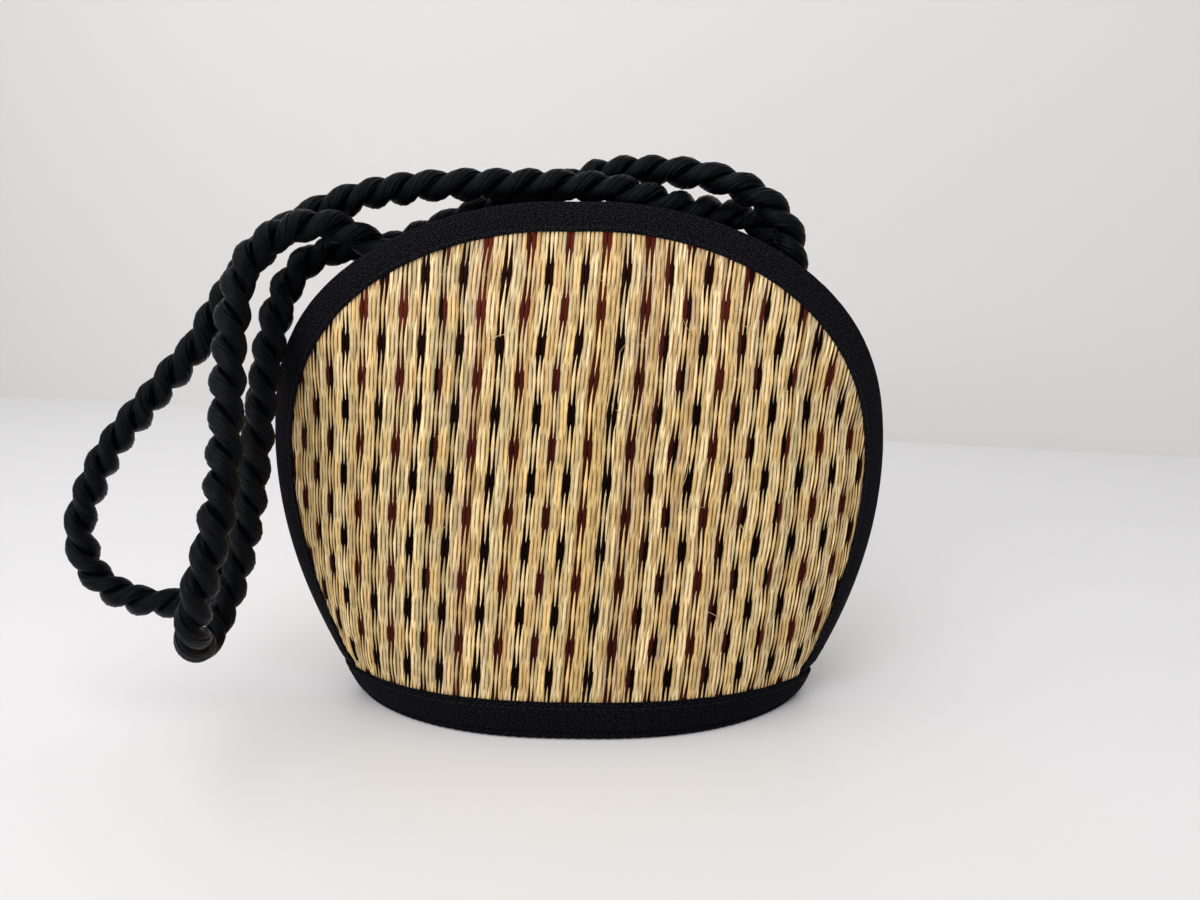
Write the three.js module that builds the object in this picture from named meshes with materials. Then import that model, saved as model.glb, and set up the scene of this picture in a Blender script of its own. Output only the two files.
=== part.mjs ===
// A dome-shaped handbag: two woven-reed panels bound in black cloth, an oval base with a sewn band
// and a welt, and two twisted rope handles that have flopped over to the left.
// Millimetres, +Z up, the front towards -Y, the origin under the middle of the base.
import * as THREE from 'three';
import { ParametricGeometry } from 'three/addons/geometries/ParametricGeometry.js';
import { mergeVertices } from 'three/addons/utils/BufferGeometryUtils.js';

// Overall size
const WIDTH = 232;
const HEIGHT = 191.5;
const BASE_LENGTH = 178;
const BASE_DEPTH = 82;

// Walls, cloth and the clearance between neighbours
const REED_WALL = 2.2;
const CLOTH = 0.8;
const GAP = 0.5;
const EDGE_REACH = 1.6;

// Outline from the front: a flared lower part under a full dome
const WIDEST_AT = 98;
const FLARE = 29.6;
const DOME_FULLNESS = 2.15;

// How far below the very peak of the dome the panels and their bindings stop
const PANEL_PEAK_CUT = 0.9;
const BINDING_PEAK_CUT = 0.35;

// Shape from the side: the panels bow from the oval base up to the open mouth
const BELLY = 4;
const MOUTH = 42;
const MOUTH_OPENS_AT = 105;
const MOUTH_FULL_AT = 168;
const SEAM_AT_BASE = 3.6;
const SEAM_AT_WIDEST = 5.6;

// Sections turn from the base's oval, a little pointed at its ends, into a flatter panel
const OVAL_FULLNESS = 2.5;
const OVAL_ROUNDING = 0.75;
const OVAL_UP_TO = 18;
const FLAT_FROM = 78;
const FLATNESS = 3;

// Cloth trim
const BINDING_WIDTH = 8.8;
const BINDING_FOOT = 13.9;
const BAND_FOOT = 4;
const BAND_RISE_FRONT = 14;
const BAND_RISE_END = 13.6;
const BAND_SWEEP = 1.5;
const WELT = 3.2;
const BASE_THICKNESS = 2.4;
const ROPE = 11;
const PANEL_FOOT = 3.9;

// The handles' routes, x y z, from the right end over the top, down the left and back to the left end
const FRONT_HANDLE_ROUTE = [
  [71, -16, 148], [75.5, -12.5, 158], [77, -10.5, 177], [73, -9, 185.5], [66.5, -7, 192.5],
  [59.5, -4.5, 196.5], [49, -0.5, 200.5], [26.5, 6.5, 203.5], [13, 7, 203], [-0.5, 7, 199.5],
  [-34, 3, 189.5], [-50.5, 1.5, 183], [-65.5, 0.5, 177], [-79, -1.5, 175.5], [-90.5, -5, 174.5],
  [-99, -9, 169.5], [-104.5, -14.2, 160], [-107.5, -19.3, 148], [-111.5, -28, 116], [-114.5, -32, 91],
  [-118, -34, 73], [-122, -35, 60], [-125, -40, 50], [-126, -50, 44], [-124.5, -62, 44.5],
  [-121, -72, 52], [-117, -77, 64], [-110.5, -75.5, 85], [-109.5, -66, 103.5], [-112.5, -48.5, 136],
  [-112.5, -40, 155.5], [-110.5, -34, 168.5], [-103.5, -29, 178], [-94, -24, 183],
  [-84.5, -18.5, 183.5], [-76.5, -14, 180], [-67, -11.6, 173.3], [-56, -13.5, 165], [-49, -17.5, 154],
  [-46, -19.5, 145],
];
const BACK_HANDLE_ROUTE = [
  [66, 17.6, 147], [73, 14.4, 155.5], [76.8, 12.6, 165], [76, 11.4, 174.2], [71.2, 10, 182],
  [63, 8.6, 187.2], [50, 4.8, 189], [35, -3, 191], [21, -7, 194.8], [5.5, -8.5, 196.8],
  [-48, -8, 197.5], [-64.5, -7, 196], [-78.5, -6, 193.5], [-100.5, -6.5, 185],
  [-110, -8, 178.5], [-119, -10, 169], [-128.5, -12, 156], [-138.5, -14, 140.5], [-151, -15, 127],
  [-173, -17, 102.5], [-181, -18, 88.5], [-185.5, -20, 76], [-185.5, -21, 65.5], [-182, -22, 56.5],
  [-173.5, -23, 49], [-162, -24, 45.5], [-150, -23, 45], [-140.5, -20, 49], [-133.5, -15, 58],
  [-129, -9, 71], [-124.5, 2, 110.5], [-117.5, 9, 146], [-113.5, 11.5, 159], [-106.5, 13, 169],
  [-95.5, 13, 175], [-84.5, 13, 176], [-66, 13, 172], [-55, 14.5, 164], [-48, 18.5, 153],
  [-45, 20, 144],
];

// Steps along each faceted piece
const PANEL_STEPS = { across: 20, up: 24 };
const BINDING_STEPS = { leg: 3, nose: 4, along: 48 };
const RING_STEPS = 44;
const WELT_SIDES = 8;
const ROPE_SIDES = 10;
const ROPE_STEPS = 40;

// Small steps for slopes, for walking along a wall and for closing in on a place
const SLOPE_STEP = 1e-4;
const WALK_STEP = 0.1;
const HALVINGS = 40;

// Finishes
const REED_FINISH = { color: 0xcbb381, roughness: 0.6, metalness: 0 };
const CLOTH_FINISH = { color: 0x111215, roughness: 0.85, metalness: 0 };
const ROPE_FINISH = { color: 0x0d0e11, roughness: 0.5, metalness: 0 };

const { cos, sin, PI, abs, round } = Math;
const { lerp, smoothstep } = THREE.MathUtils;

// The panels' own size, inside the cloth that wraps them
const PANEL_TOP = HEIGHT - GAP - CLOTH;
const PANEL_HALF_WIDTH = WIDTH / 2 - EDGE_REACH;
const PANEL_BASE_DEPTH = BASE_DEPTH / 2 - (REED_WALL / 2 + GAP + CLOTH);

// Half the width of a panel at a height
function halfWidth(z) {
  if (z <= WIDEST_AT) {
    return PANEL_HALF_WIDTH - FLARE * ((WIDEST_AT - z) / WIDEST_AT) ** 2;
  }
  const rise = (z - WIDEST_AT) / (PANEL_TOP - WIDEST_AT);
  return PANEL_HALF_WIDTH * Math.max(0, 1 - rise ** DOME_FULLNESS) ** (1 / DOME_FULLNESS);
}

// How far the middle of a panel stands in front of the seam plane
function middleDepth(z) {
  const rise = z / PANEL_TOP;
  return lerp(PANEL_BASE_DEPTH, MOUTH / 2, rise) + 4 * BELLY * rise * (1 - rise);
}

// How far the edge of a panel stands in front of the seam plane
function edgeDepth(z) {
  const seam = lerp(SEAM_AT_BASE, SEAM_AT_WIDEST, smoothstep(z, OVAL_UP_TO, FLAT_FROM)) / 2;
  return lerp(seam, MOUTH / 2, smoothstep(z, MOUTH_OPENS_AT, MOUTH_FULL_AT));
}

// The oval's depth at a share of its half length, as a share of its depth in the middle
function ovalDepth(along) {
  return Math.max(0, 1 - abs(along) ** OVAL_FULLNESS) ** OVAL_ROUNDING;
}

// The share of the oval's half length at which a panel's edge lies
function ovalEnd(z) {
  return (1 - (edgeDepth(z) / middleDepth(z)) ** (1 / OVAL_ROUNDING)) ** (1 / OVAL_FULLNESS);
}

// A point in the middle of the front panel's wall, with across from -1 to 1
function wallPoint(across, z) {
  const width = halfWidth(z);
  const depth = middleDepth(z);
  const edge = edgeDepth(z);
  const end = ovalEnd(z);
  const along = sin(across * Math.asin(end));
  const flat = smoothstep(z, OVAL_UP_TO, FLAT_FROM);
  const x = width * lerp(along / end, across, flat);
  const bowed = edge + (depth - edge) * (1 - abs(across) ** FLATNESS);
  const y = lerp(depth * ovalDepth(along), bowed, flat);
  return new THREE.Vector3(x, -y, z);
}

// The direction straight out of the front panel
function wallNormal(across, z) {
  const sideways = wallPoint(across + SLOPE_STEP, z).sub(wallPoint(across - SLOPE_STEP, z));
  const upward = wallPoint(across, z + SLOPE_STEP).sub(wallPoint(across, z - SLOPE_STEP));
  return sideways.cross(upward).normalize();
}

// The place across a panel that lies at a given x
function acrossAt(x, z) {
  let low = -1;
  let high = 1;
  for (let i = 0; i < HALVINGS; i += 1) {
    const middle = (low + high) / 2;
    if (wallPoint(middle, z).x < x) low = middle;
    else high = middle;
  }
  return (low + high) / 2;
}

// The arched edge of the front panel, from the left foot over the top to the right foot
class PanelEdge extends THREE.Curve {
  getPoint(t) {
    const side = t < 0.5 ? -1 : 1;
    const climb = 1 - abs(2 * t - 1);
    const z = BINDING_FOOT + (PANEL_TOP - BINDING_PEAK_CUT - BINDING_FOOT) * sin(climb * PI / 2);
    return wallPoint(side, z);
  }
}

// A closed sheet of cloth or reed. place gives a point for across and along from 0 to 1 and for
// side +1 on the outer face, -1 on the inner face and 0 in the middle.
function sheetGeometry(place, acrossSteps, alongSteps, isRing) {
  const loopSteps = 2 * acrossSteps + 2;
  const rows = isRing ? alongSteps : alongSteps + 2;
  const onSheet = (u, v, target) => {
    const turn = round(u * loopSteps) % loopSteps;
    const row = round(v * rows);
    const isOuter = turn <= acrossSteps;
    const across = (isOuter ? turn : 2 * acrossSteps + 1 - turn) / acrossSteps;
    const along = isRing ? (row % rows) / rows : THREE.MathUtils.clamp((row - 1) / alongSteps, 0, 1);
    const isCap = !isRing && (row === 0 || row === rows);
    const side = isOuter ? 1 : -1;
    target.copy(place(across, along, isCap ? 0 : side));
  };
  return closedGeometry(new ParametricGeometry(onSheet, loopSteps, rows));
}

// A geometry with shared corners, no empty triangles and its faces pointing out
function closedGeometry(source) {
  source.deleteAttribute('normal');
  source.deleteAttribute('uv');
  const geometry = mergeVertices(source);
  const corner = (i) => new THREE.Vector3().fromBufferAttribute(geometry.attributes.position, i);
  const old = geometry.index.array;
  const faces = [];
  let volume = 0;
  for (let i = 0; i < old.length; i += 3) {
    const [a, b, c] = old.slice(i, i + 3);
    if (a !== b && b !== c && c !== a) {
      faces.push([a, b, c]);
      volume += corner(a).dot(corner(b).cross(corner(c)));
    }
  }
  geometry.setIndex(faces.flatMap(([a, b, c]) => (volume > 0 ? [a, b, c] : [a, c, b])));
  geometry.computeVertexNormals();
  return geometry;
}

// One reed panel: front is 1 for the front panel and -1 for its mirror at the back
function panelGeometry(front) {
  const place = (across, along, side) => {
    const t = sin((across - 0.5) * PI);
    const z = PANEL_FOOT + (PANEL_TOP - PANEL_PEAK_CUT - PANEL_FOOT) * sin(along * PI / 2);
    const point = wallPoint(t, z).addScaledVector(wallNormal(t, z), side * REED_WALL / 2);
    point.y *= front;
    return point;
  };
  return sheetGeometry(place, PANEL_STEPS.across, PANEL_STEPS.up, false);
}

// A strip of points on the wall from the edge inwards, at chosen distances along the wall
function inwardStrip(edgePoint, inward, distances) {
  const strip = [];
  let travelled = 0;
  let reach = 0;
  let last = edgePoint.clone();
  for (const distance of distances) {
    while (travelled < distance) {
      reach += WALK_STEP;
      const z = edgePoint.z + inward.z * reach;
      const here = wallPoint(acrossAt(edgePoint.x + inward.x * reach, z), z);
      travelled += here.distanceTo(last);
      last = here;
    }
    strip.push({ point: last.clone(), normal: wallNormal(acrossAt(last.x, last.z), last.z) });
  }
  return strip;
}

// The cloth binding folded over a panel's arched edge, a channel with two legs and a round nose
function bindingGeometry(front) {
  const edge = new PanelEdge();
  const { leg, nose, along: alongSteps } = BINDING_STEPS;
  const legPlaces = Array.from({ length: leg + 1 }, (_, i) => BINDING_WIDTH * i / leg);
  const stations = [];
  for (let i = 0; i <= alongSteps; i += 1) {
    const t = edge.getUtoTmapping(i / alongSteps);
    const point = edge.getPoint(t);
    const tangent = edge.getTangent(t);
    const inward = new THREE.Vector3(tangent.z, 0, -tangent.x).normalize();
    const strip = inwardStrip(point, inward, legPlaces);
    const outward = strip[0].point.clone().sub(strip[1].point).normalize();
    stations.push({ strip, outward });
  }
  const acrossSteps = 2 * leg + nose;
  const place = (across, along, side) => {
    const { strip, outward } = stations[round(along * alongSteps)];
    const step = round(across * acrossSteps);
    const offset = REED_WALL / 2 + GAP + CLOTH * (side + 1) / 2;
    const overhang = GAP + CLOTH * (side + 1) / 2;
    const onNose = THREE.MathUtils.clamp((step - leg) / nose, 0, 1);
    const angle = PI / 2 - PI * onNose;
    const legPlace = step <= leg ? leg - step : Math.max(0, step - leg - nose);
    const { point, normal } = strip[legPlace];
    const placed = point.clone().addScaledVector(normal, offset * sin(angle));
    placed.addScaledVector(outward, overhang * cos(angle));
    placed.y *= front;
    return placed;
  };
  return sheetGeometry(place, acrossSteps, alongSteps, false);
}

// A point on an oval of a half length and depth
function onOval(length, depth, angle, z) {
  const y = Math.sign(sin(angle)) * depth * ovalDepth(cos(angle));
  return new THREE.Vector3(length * cos(angle), y, z);
}

// A point on the whole oval round the foot of both panels
function ovalPoint(angle, z) {
  return onOval(halfWidth(z) / ovalEnd(z), middleDepth(z), angle, z);
}

// The direction straight out of that oval
function ovalNormal(angle, z) {
  const sideways = ovalPoint(angle + SLOPE_STEP, z).sub(ovalPoint(angle - SLOPE_STEP, z));
  const upward = ovalPoint(angle, z + SLOPE_STEP).sub(ovalPoint(angle, z - SLOPE_STEP));
  return sideways.cross(upward).normalize();
}

// The cloth band sewn round the foot of both panels
function bandGeometry() {
  const place = (across, along, side) => {
    const angle = 2 * PI * along;
    const rise = lerp(BAND_RISE_END, BAND_RISE_FRONT, abs(sin(angle)) ** BAND_SWEEP);
    const z = lerp(BAND_FOOT, rise, across);
    const offset = REED_WALL / 2 + GAP + CLOTH * (side + 1) / 2;
    return ovalPoint(angle, z).addScaledVector(ovalNormal(angle, z), offset);
  };
  return sheetGeometry(place, 2, RING_STEPS, true);
}

// The corded welt that runs round the edge of the base
function weltGeometry() {
  const radius = WELT / 2;
  const onWelt = (u, v, target) => {
    const turn = 2 * PI * (round(u * WELT_SIDES) % WELT_SIDES) / WELT_SIDES + PI / WELT_SIDES;
    const angle = 2 * PI * (round(v * RING_STEPS) % RING_STEPS) / RING_STEPS;
    const rounding = radius / cos(PI / WELT_SIDES);
    const reach = rounding * cos(turn);
    const inset = reach - radius;
    const height = radius + rounding * sin(turn);
    target.copy(onOval(BASE_LENGTH / 2 + inset, BASE_DEPTH / 2 + inset, angle, height));
  };
  return closedGeometry(new ParametricGeometry(onWelt, WELT_SIDES, RING_STEPS));
}

// The oval bottom inside the welt
function baseGeometry() {
  const inset = WELT + GAP;
  const corners = Array.from({ length: RING_STEPS }, (_, i) => {
    const { x, y } = onOval(BASE_LENGTH / 2 - inset, BASE_DEPTH / 2 - inset, 2 * PI * i / RING_STEPS, 0);
    return new THREE.Vector2(x, y);
  });
  const settings = { depth: BASE_THICKNESS, bevelEnabled: false };
  return new THREE.ExtrudeGeometry(new THREE.Shape(corners), settings);
}

// A rope handle along its route
function ropeGeometry(route) {
  const corners = Array.from({ length: ROPE_SIDES }, (_, i) => {
    const angle = 2 * PI * i / ROPE_SIDES;
    return new THREE.Vector2(ROPE / 2 * cos(angle), ROPE / 2 * sin(angle));
  });
  const path = new THREE.CatmullRomCurve3(route.map((place) => new THREE.Vector3(...place)));
  const settings = { steps: ROPE_STEPS, bevelEnabled: false, extrudePath: path };
  return closedGeometry(mergeVertices(new THREE.ExtrudeGeometry(new THREE.Shape(corners), settings)));
}

function piece(name, geometry, finish) {
  const mesh = new THREE.Mesh(geometry, new THREE.MeshStandardMaterial(finish));
  mesh.name = name;
  return mesh;
}

const purse = new THREE.Group();
purse.name = 'purse';
purse.add(
  piece('front_panel', panelGeometry(1), REED_FINISH),
  piece('back_panel', panelGeometry(-1), REED_FINISH),
  piece('front_binding', bindingGeometry(1), CLOTH_FINISH),
  piece('back_binding', bindingGeometry(-1), CLOTH_FINISH),
  piece('base_band', bandGeometry(), CLOTH_FINISH),
  piece('base_welt', weltGeometry(), CLOTH_FINISH),
  piece('base', baseGeometry(), CLOTH_FINISH),
  piece('front_handle', ropeGeometry(FRONT_HANDLE_ROUTE), ROPE_FINISH),
  piece('back_handle', ropeGeometry(BACK_HANDLE_ROUTE), ROPE_FINISH),
);

export default purse;
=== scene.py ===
import math

import bmesh
import bpy
import numpy as np
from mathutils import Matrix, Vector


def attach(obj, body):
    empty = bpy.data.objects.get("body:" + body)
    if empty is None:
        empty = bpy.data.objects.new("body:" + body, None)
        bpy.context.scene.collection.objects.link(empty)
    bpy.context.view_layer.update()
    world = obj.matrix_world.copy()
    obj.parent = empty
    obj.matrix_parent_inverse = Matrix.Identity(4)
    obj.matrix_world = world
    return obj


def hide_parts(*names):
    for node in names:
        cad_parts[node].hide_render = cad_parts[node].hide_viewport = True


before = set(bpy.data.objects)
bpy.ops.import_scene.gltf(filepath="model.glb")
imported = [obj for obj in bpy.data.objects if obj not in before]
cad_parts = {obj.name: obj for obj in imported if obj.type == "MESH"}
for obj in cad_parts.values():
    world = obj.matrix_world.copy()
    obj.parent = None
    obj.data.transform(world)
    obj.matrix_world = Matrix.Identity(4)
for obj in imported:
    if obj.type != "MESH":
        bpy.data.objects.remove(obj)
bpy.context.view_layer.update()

# Units: every size below is in millimetres, and MM turns it into metres
MM = 0.001
WELD = 0.002
SLOPE_STEP = 1e-3
HALVINGS = 34

# The bag's driving sizes
WIDTH = 232
HEIGHT = 191.5
BASE_LENGTH = 178
BASE_DEPTH = 82
REED_WALL = 2.2
CLOTH = 0.8
GAP = 0.5
EDGE_REACH = 1.6

# Outline from the front: a flared lower part under a full dome
WIDEST_AT = 98
FLARE = 29.6
DOME_FULLNESS = 2.15

# Shape from the side: the panels bow from the oval base up to the open mouth
BELLY = 4
MOUTH = 42
MOUTH_OPENS_AT = 105
MOUTH_FULL_AT = 168
SEAM_AT_BASE = 3.6
SEAM_AT_WIDEST = 5.6

# Sections turn from the base's oval, a little pointed at its ends, into a flatter panel
OVAL_FULLNESS = 2.5
OVAL_ROUNDING = 0.75
OVAL_UP_TO = 18
FLAT_FROM = 78
FLATNESS = 3

PANEL_TOP = HEIGHT - GAP - CLOTH
PANEL_HALF_WIDTH = WIDTH / 2 - EDGE_REACH
PANEL_BASE_DEPTH = BASE_DEPTH / 2 - (REED_WALL / 2 + GAP + CLOTH)

# The weave: upright reeds over level threads
WARP_SPACING = 12.0
BLACK_LEVEL = 94.7
ROWS_PER_WARP = 5
REPEAT = 14.0
REEDS_PER_REPEAT = 18
BLACK_PLACES = (0, 2)
MAROON_PLACES = (9, 11)
BLACK_PAIR_AT = -1.2
REED_LEAN = 0.09
REED_THICKNESS = 0.98
REED_THIN = 0.50
THICKENS_OVER_SWING = (-0.6, 0.6)
UNDER_FROM = 6.4
UNDER_FULL = 9.4
UNDER_SHARE = 0.98
WEAVE_DEPTH = 0.33
WEAVE_DEPTH_SPREAD = (0.85, 1.2)
REED_WIDTH_SPREAD = (0.95, 1.07)
DARK_SQUEEZE = 0.02
REED_KINDS = {
    # widest, half its widest stretch, end of its tip, hollowness of its taper, narrowest share,
    # slip along itself, lift, painted shade where it dips
    "dark": (1.74, 0.3, 12.0, 0.92, 0.30, 0.4, -0.05, 0.6),
    "beside a dark one": (1.44, 0.0, 9.0, 0.8, 0.24, 0.6, 0.14, 1.0),
    "free": (1.56, 0.4, 12.0, 1.0, 0.42, 1.6, 0.0, 0.70),
}
# Painted shade round each reed's section, as if lit from the front: the ridge bright, the sides and
# underside darker
REED_SECTION = (
    # share of half the width, share of half the thickness, painted shade: a lit ridge with darker sides and
    # a dark underside
    (-1, 0, 0.85),
    (0, 1, 1.0),
    (1, 0, 0.85),
    (0, -2, 0.4),
)
# Painted shade where a reed dips under its neighbours
PAINTED_DIP_SWING = (-0.97, -0.35)
# Painted shade in the grooves along both sides of each reed
PAINTED_GROOVE_FROM = 0.55
PAINTED_GROOVE_SHADE = (0.34, 0.20, 0.08, 1)
# The painted shade where reeds dip turns warmer as it darkens
WARMTH_IN_PAINTED_SHADE = (0.85, 1.0, 1.3)
# Reeds grow lighter towards the top of the panel
TOPWARD_LIGHTENING_HEIGHTS = (110, 185)
TOPWARD_LIGHTENING = {
    # gain in red, green and blue
    "maroon": (1.3, 1.3, 1.3),
    "black": (3.2, 1.8, 1.5),
    "plain": (0.10, 0.11, 0.21),
}
REED_TUCK = 1.6
REED_FOOT = 4.6
REED_TOP_CUT = 1
FEWEST_ROWS = 3
WALL_SAMPLES = 241
CREASE_FREE = WARP_SPACING / 2
THREAD_ACROSS = 0.55
THREAD_LIFT = -0.12
THREAD_SPREAD = 0.97
THREAD_STEPS = 64
FRONT_SEED = 11
BACK_SEED = 23
DRIFT_SEEDS = 1000
REED_SEEDS = 10000

# How uneven the reeds are, each as the size and wavelength of its ripples
LINE_DRIFT = (0.8, 3.2 * REPEAT)
OWN_WOBBLE = (0.07, 44)
SHARED_WOBBLE = (0.24, 55)
MOTTLE = (0.07, 30)
SHARED_SLANT = 0.9
LINE_SCATTER = 0.05
SLIP_WAVELENGTH = 45

# The reeds' grain starts at another place on each strip and on its underside
GRAIN_APART_ACROSS = 7
GRAIN_APART_ALONG = 31
GRAIN_UNDERSIDE = 5.0

# Fine fibres that have sprung loose from the reeds
LOOSE_FIBRES = 16
FIBRE_STEPS = 7
FIBRE_ACROSS = 0.16
FIBRE_LENGTHS = (4, 12)
FIBRE_LEAN = (0.15, 0.5)
FIBRE_CURL = 0.5
FIBRE_HEIGHTS = (24, 165)
FIBRE_SPREAD = 0.8
FIBRE_LIFT = 0.4
FIBRE_PEAKS = (0.9, 1.7)
FIBRE_ARCHES = (1.6, 3.0)
FIBRE_SHADES = (0.7, 1.1)

# Reed colours with the share of the plain reeds that has each
PLAIN_REEDS = (
    # red, green, blue, share
    (0.98, 0.78, 0.43, 0.40),
    (0.94, 0.67, 0.29, 0.32),
    (0.75, 0.51, 0.23, 0.17),
    (0.68, 0.54, 0.28, 0.05),
    (0.82, 0.61, 0.38, 0.04),
    (0.62, 0.38, 0.15, 0.02),
)
BLACK_REED = (0.0040, 0.0014, 0.0011)
MAROON_REED = (0.050, 0.0075, 0.005)
THREAD_TINT = (0.34, 0.25, 0.13)
MIXED_PAIR_SHARE = 0.14
PLAIN_TINT_SPREAD = (0.74, 1.12)
DARK_TINT_SPREAD = (0.7, 1.45)

# Reed finish
NOISE_MIDDLE = (0.3, 0.7)
REED_FIBRES = {"Fineness": 2.2, "Stretch": 26.0}
REED_STREAK_SHADE = (0.64, 1.18)
REED_PATCH_SHADE = (0.84, 1.12)
REED_ROUGHNESS = (0.42, 0.66)
REED_BUMP = (0.5, 0.12)
CREASE_TURNS = 14.0
CREASE_NEAR = (0.3, 1.5)
CREASE_LINE = (0.1, 0.8)
CREASED_PATCHES = (0.55, 0.65)
CREASE_DEPTH = 0.4

# Cloth finish; bumps are a strength and a depth
# The foot cloth is the binding's black cloth with painted shade: a darker copy for the band and welt
CLOTHS = {
    # tone, lint as a multiple of the tone, whether its threads follow its own map
    "binding cloth": ((0.0020, 0.0020, 0.0027), 16.0, True),
    "foot cloth in painted shade": ((0.0014, 0.0014, 0.0019), 14.0, True),
    "base cloth": ((0.0022, 0.0022, 0.0028), 14.0, False),
}
LINT = {"Scale": 2.2, "Detail": 2.0, "Roughness": 0.55}
PATCHES = {"Scale": 0.16, "Detail": 2.0}
STREAK_DETAIL = 3.0
CLOTH_THREAD = 0.42
CLOTH_FLECKS = (0.48, 0.70)
CLOTH_WEAVE_PAINTED_SHADE = 0.4
CLOTH_THREAD_BUMP = (0.6, 0.15)
CLOTH_LINT_BUMP = (0.7, 0.4)
SEWING_DARK = (0.002, 0.002, 0.003, 1)
SEWING_LIGHT = (0.012, 0.012, 0.015, 1)
SEWING_TWIST = {"Scale": 2400.0, "Detail": 2.0}

# Satin finish
# Painted shade and sheen: darker and lighter streaks that follow the creases' bump
SATIN_PAINTED_SHADE = (0.0005, 0.0005, 0.0008, 1)
SATIN_PAINTED_SHEEN = (0.0013, 0.0015, 0.0024, 1)
SATIN_FLECK = (0.0045, 0.0050, 0.0074, 1)
SATIN_CREASES = {"Fineness": 0.55, "Stretch": 9.0}
SATIN_THREAD = 0.22
SATIN_FLECKS = (0.5, 0.75)
SATIN_ROUGHNESS = (0.25, 0.40)
SATIN_THREAD_BUMP = (0.5, 0.12)
SATIN_CREASE_BUMP = (0.9, 2.0)

# Cloth binding over the panels' edges
BINDING_FOOT = 13.9
BINDING_TUCK = 4.0
BINDING_TUCK_LIFT = 0.5
BINDING_TUCK_FROM = 2
BINDING_PUCKER = (0.05, 4.5)
BINDING_PULL = 0.06
BINDING_PEAK_CUT = 0.35
BINDING_CLOTH = 0.6
BINDING_STEPS = 520
BINDING_REACH = 11.0
NOSE_OVERHANG = 0.95
NOSE_STEPS = 6
NOSE_DROP = 0.03
NOSE_ROLL = (0.04, 6)
EDGE_SAMPLES = 4001
REACH_SAMPLES = 90
OUTWARD_SAMPLE = 8
BINDING_LEG = (
    # distance from the edge, lift off the middle of the wall
    (8.30, 0.95),
    (8.60, 0.98),
    (8.78, 1.15),
    (8.68, 1.38),
    (8.30, 1.50),
    (7.70, 1.36),
    (7.10, 1.53),
    (6.00, 1.74),
    (4.50, 1.88),
    (3.00, 1.90),
    (1.40, 1.80),
    (0.50, 1.68),
)
STITCH_FROM_EDGE = 7.70
STITCH_GROOVE = 1.36

# Cloth band round the foot, as height over the foot or under the hem and lift off the wall
BAND_FOOT = 3.0
BAND_RISE_FRONT = 14
BAND_RISE_END = 13.6
BAND_RISE_RIGHT = 11.2
BAND_SWEEP = 1.5
BAND_STEPS = 420
BAND_CLOTH = 0.6
BAND_END_LIFT = 0.5
BAND_END_FROM = (0.9, 0.985)
BAND_PUCKER = (0.05, 9)
BAND_JOIN = 0.1
BAND_SEED = 31
BAND_LOWER = (
    # height over the foot, lift
    (0.35, 0.80),
    (0.10, 1.35),
    (0.35, 1.85),
    (1.40, 2.02),
    (3.20, 2.05),
)
BAND_UPPER = (
    # depth under the hem, lift
    (3.40, 2.00),
    (2.60, 1.88),
    (1.95, 1.62),
    (1.35, 1.74),
    (0.55, 1.66),
    (0.05, 1.42),
    (0.00, 1.15),
    (0.25, 0.98),
)
BAND_STITCH_DEPTH = 1.95
BAND_STITCH_LIFT = 1.62

# Welt and base
WELT = 3.2
WELT_STEPS = (16, 300)
WELT_PUCKERS = 150
WELT_PUCKER_DEPTH = 0.13
WELT_PUCKER_SLANT = 2
BASE_THICKNESS = 2.4
BASE_INSET = 3.7
BASE_SIDES = 88
BASE_ROUNDING = 0.6
ROUND_FOOT = math.pi * (BASE_LENGTH + BASE_DEPTH) / 2

# Stitches
STITCH_PITCH = 2.7
STITCH_SIZE = (2.0, 0.42, 0.34)
STITCH_SEGMENTS = 6
STITCH_RINGS = 5

# Two-strand rope, as shares of its width
ROPE_WIDTH = 11.1
ROPE_LAY = 22.5
STRAND_OFFSET = 0.25
STRAND_RADIAL = 0.268
STRAND_TANGENTIAL = 0.350
STRAND_EGG = 0.15
ROPE_STEP = 1.2
STRAND_SIDES = 40
ROPE_END = 7.0
ROPE_END_WIDTH = 0.72
ROPE_TIP = 1.5
ROPE_LAY_WAVER = (0.25, 70)
STRAND_PLUMPNESS = (0.035, 16)
STRAND_CREASE_DEPTH = 0.020
STRAND_CREASES = (
    # creases round a strand, their drift along it, turn from strand to strand
    (5, 0.23, 2.1),
    (9, -0.31, 1.3),
)
FRONT_ROPE_SEED = 5
BACK_ROPE_SEED = 8

# The handles' routes, x y z, from the right end over the top, down the left and back to the left end
FRONT_HANDLE_ROUTE = (
    (71, -16, 148), (75.5, -12.5, 158), (77, -10.5, 177), (73, -9, 185.5), (66.5, -7, 192.5),
    (59.5, -4.5, 196.5), (49, -0.5, 200.5), (26.5, 6.5, 203.5), (13, 7, 203), (-0.5, 7, 199.5),
    (-34, 3, 189.5), (-50.5, 1.5, 183), (-65.5, 0.5, 177), (-79, -1.5, 175.5), (-90.5, -5, 174.5),
    (-99, -9, 169.5), (-104.5, -14.2, 160), (-107.5, -19.3, 148), (-111.5, -28, 116),
    (-114.5, -32, 91), (-118, -34, 73), (-122, -35, 60), (-125, -40, 50), (-126, -50, 44),
    (-124.5, -62, 44.5), (-121, -72, 52), (-117, -77, 64), (-110.5, -75.5, 85),
    (-109.5, -66, 103.5), (-112.5, -48.5, 136), (-112.5, -40, 155.5), (-110.5, -34, 168.5),
    (-103.5, -29, 178), (-94, -24, 183), (-84.5, -18.5, 183.5), (-76.5, -14, 180),
    (-67, -11.6, 173.3), (-56, -13.5, 165), (-49, -17.5, 154), (-46, -19.5, 145),
)
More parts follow.
